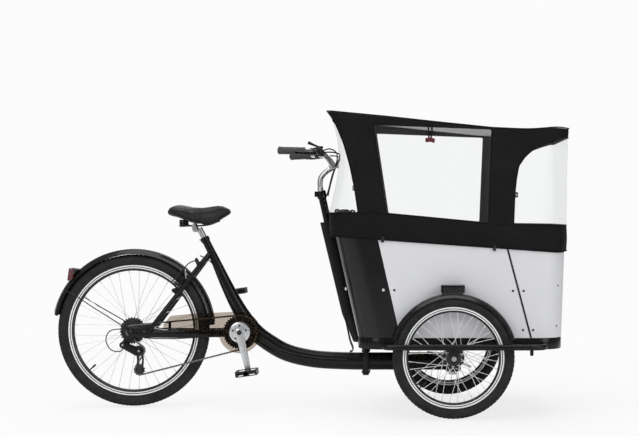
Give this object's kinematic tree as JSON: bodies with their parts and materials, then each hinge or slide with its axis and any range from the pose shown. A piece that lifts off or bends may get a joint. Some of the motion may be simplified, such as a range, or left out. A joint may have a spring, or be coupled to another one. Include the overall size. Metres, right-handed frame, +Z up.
{
  "type": "front-loading cargo tricycle",
  "caption": "Front-loading cargo tricycle: rear-driven swept-tube frame, wide child box with rain hood on a pivoting front chassis, upright handlebar, padded saddle and mudguards.",
  "frame": {"origin": "the point where the rear tyre rests on the ground, in the bicycle's centre plane", "axes": "+X forward, +Y to the rider's left, +Z up"},
  "size_m": [2.2085, 0.892, 1.264],
  "materials": {
    "frame_paint": "glossy black paint",
    "steel": "plain steel",
    "black_plastic": "satin black plastic",
    "red_lens": "dark red lens",
    "smoked_plastic": "smoked see-through plastic",
    "silver": "polished alloy",
    "dark_steel": "blackened steel",
    "saddle_cover": "matt black padded cover",
    "tyre": "matt black rubber",
    "grip_rubber": "ribbed rubber",
    "white_panel": "smooth white panel",
    "black_panel": "smooth black panel",
    "wood": "varnished birch plywood",
    "hood_fabric": "coated black woven fabric"
  },
  "bodies": {
    "rear_frame": {"rear_frame": "frame_paint", "rear_axle": "steel", "kingpin": "steel", "seat_clamp": "frame_paint", "rear_fender": "black_plastic", "fender_stay_left": "frame_paint", "fender_stay_right": "frame_paint", "tail_light": "red_lens", "chain": "steel", "chain_guard": "smoked_plastic", "derailleur_body": "frame_paint"},
    "seat": {"seat_post": "silver", "saddle_rails": "dark_steel", "saddle": "saddle_cover"},
    "rear_wheel": {"rear_tyre": "tyre", "rear_rim": "silver", "rear_hub": "dark_steel"},
    "sprockets": {"sprocket_cluster": "dark_steel"},
    "crank": {"crank_right": "silver", "crank_left": "silver", "chainring": "dark_steel"},
    "pedal_right": {"pedal_right": "black_plastic"},
    "pedal_left": {"pedal_left": "black_plastic"},
    "rear_brake_arm_right": {"rear_brake_arm_right": "frame_paint"},
    "rear_brake_arm_left": {"rear_brake_arm_left": "frame_paint"},
    "derailleur_cage": {"derailleur_cage": "steel"},
    "guide_pulley": {"guide_pulley": "black_plastic"},
    "tension_pulley": {"tension_pulley": "black_plastic"},
    "front_frame": {"front_chassis": "frame_paint", "box_floor": "wood", "box_rear_panel": "black_panel", "box_front_panel": "white_panel", "box_side_left": "white_panel", "box_side_right": "white_panel", "bench": "wood", "steering_column": "frame_paint", "front_fender_left": "black_plastic", "front_fender_right": "black_plastic", "brake_plate_left": "dark_steel", "brake_plate_right": "dark_steel", "front_axle_left": "steel", "front_axle_right": "steel"},
    "front_wheel_left": {"front_tyre_left": "tyre", "front_rim_left": "silver", "front_hub_left": "dark_steel"},
    "front_wheel_right": {"front_tyre_right": "tyre", "front_rim_right": "silver", "front_hub_right": "dark_steel"},
    "brake_cam_left": {"brake_cam_left": "steel"},
    "brake_cam_right": {"brake_cam_right": "steel"},
    "handlebar": {"stem": "silver", "handlebar": "silver", "grip_left": "grip_rubber", "grip_right": "grip_rubber"},
    "brake_lever_left": {"brake_lever_left": "frame_paint"},
    "brake_lever_right": {"brake_lever_right": "frame_paint"},
    "gear_lever": {"gear_lever": "black_plastic"},
    "hood": {"hood": "hood_fabric", "hood_hoop_rear": "steel", "hood_hoop_front": "steel"}
  },
  "joints": [
    {"name": "steering", "type": "hinge", "parent": "rear_frame", "child": "front_frame", "pos_m": [1.39, 0, 0.2], "axis": [0, 0, 1], "range_deg": [-35, 35]},
    {"name": "seat_height", "type": "slide", "parent": "rear_frame", "child": "seat", "axis": [-0.454, 0, 0.891], "range_m": [-0.02, 0.09]},
    {"name": "rear_wheel_spin", "type": "hinge", "parent": "rear_frame", "child": "rear_wheel", "pos_m": [0, 0, 0.33], "axis": [0, 1, 0], "continuous": true},
    {"name": "crank_spin", "type": "hinge", "parent": "rear_frame", "child": "crank", "pos_m": [0.468, 0, 0.325], "axis": [0, 1, 0], "continuous": true},
    {"name": "sprocket_spin", "type": "hinge", "parent": "rear_frame", "child": "sprockets", "pos_m": [0, 0, 0.33], "axis": [0, 1, 0], "continuous": true},
    {"name": "pedal_right_spin", "type": "hinge", "parent": "crank", "child": "pedal_right", "pos_m": [0.50711, -0.13, 0.15956], "axis": [0, 1, 0], "continuous": true},
    {"name": "pedal_left_spin", "type": "hinge", "parent": "crank", "child": "pedal_left", "pos_m": [0.42889, 0.13, 0.49044], "axis": [0, 1, 0], "continuous": true},
    {"name": "rear_brake_right", "type": "hinge", "parent": "rear_frame", "child": "rear_brake_arm_right", "pos_m": [0.18382, -0.046, 0.50275], "axis": [-0.7961, 0, 0.6051], "range_deg": [0, 2.2]},
    {"name": "rear_brake_left", "type": "hinge", "parent": "rear_frame", "child": "rear_brake_arm_left", "pos_m": [0.18382, 0.046, 0.50275], "axis": [0.7961, 0, -0.6051], "range_deg": [0, 2.2]},
    {"name": "chain_tensioner", "type": "hinge", "parent": "rear_frame", "child": "derailleur_cage", "pos_m": [0.034, -0.052, 0.246], "axis": [0, 1, 0], "range_deg": [-15, 25], "deforming": ["chain"]},
    {"name": "guide_pulley_spin", "type": "hinge", "parent": "derailleur_cage", "child": "guide_pulley", "pos_m": [0.034, -0.052, 0.246], "axis": [0, 1, 0], "continuous": true},
    {"name": "tension_pulley_spin", "type": "hinge", "parent": "derailleur_cage", "child": "tension_pulley", "pos_m": [0.035, -0.052, 0.163], "axis": [0, 1, 0], "continuous": true},
    {"name": "front_wheel_left_spin", "type": "hinge", "parent": "front_frame", "child": "front_wheel_left", "pos_m": [1.379, 0.38, 0.25], "axis": [0, 1, 0], "continuous": true},
    {"name": "front_wheel_right_spin", "type": "hinge", "parent": "front_frame", "child": "front_wheel_right", "pos_m": [1.379, -0.38, 0.25], "axis": [0, 1, 0], "continuous": true},
    {"name": "brake_cam_left_turn", "type": "hinge", "parent": "front_frame", "child": "brake_cam_left", "pos_m": [1.404, 0.3335, 0.228], "axis": [0, 1, 0], "range_deg": [0, 12]},
    {"name": "brake_cam_right_turn", "type": "hinge", "parent": "front_frame", "child": "brake_cam_right", "pos_m": [1.404, -0.3335, 0.228], "axis": [0, 1, 0], "range_deg": [0, 12]},
    {"name": "handlebar_height", "type": "slide", "parent": "front_frame", "child": "handlebar", "axis": [-0.2163, 0, 0.9763], "range_m": [-0.015, 0.05]},
    {"name": "brake_lever_right_pull", "type": "hinge", "parent": "handlebar", "child": "brake_lever_right", "pos_m": [0.806, -0.213, 1.093], "axis": [0, 0, -1], "range_deg": [0, 14]},
    {"name": "brake_lever_left_pull", "type": "hinge", "parent": "handlebar", "child": "brake_lever_left", "pos_m": [0.806, 0.213, 1.093], "axis": [0, 0, 1], "range_deg": [0, 14]},
    {"name": "gear_lever_turn", "type": "hinge", "parent": "handlebar", "child": "gear_lever", "pos_m": [0.82, -0.147, 1.115], "axis": [0, 0, 1], "range_deg": [-20, 45]},
    {"name": "hood_lift", "type": "slide", "parent": "front_frame", "child": "hood", "axis": [0.1483, 0, 0.9889], "range_m": [0, 0.3], "deforming": ["hood"]}
  ],
  "couplings": [
    {"joint": "sprocket_spin", "follows": "crank_spin", "ratio": 3},
    {"joint": "guide_pulley_spin", "follows": "crank_spin", "ratio": -3.2727},
    {"joint": "tension_pulley_spin", "follows": "crank_spin", "ratio": 3.2727},
    {"joint": "rear_brake_right", "follows": "brake_lever_right_pull", "ratio": 0.15},
    {"joint": "rear_brake_left", "follows": "brake_lever_right_pull", "ratio": 0.15},
    {"joint": "brake_cam_left_turn", "follows": "brake_lever_left_pull", "ratio": 0.82143},
    {"joint": "brake_cam_right_turn", "follows": "brake_lever_left_pull", "ratio": 0.82143}
  ]
}
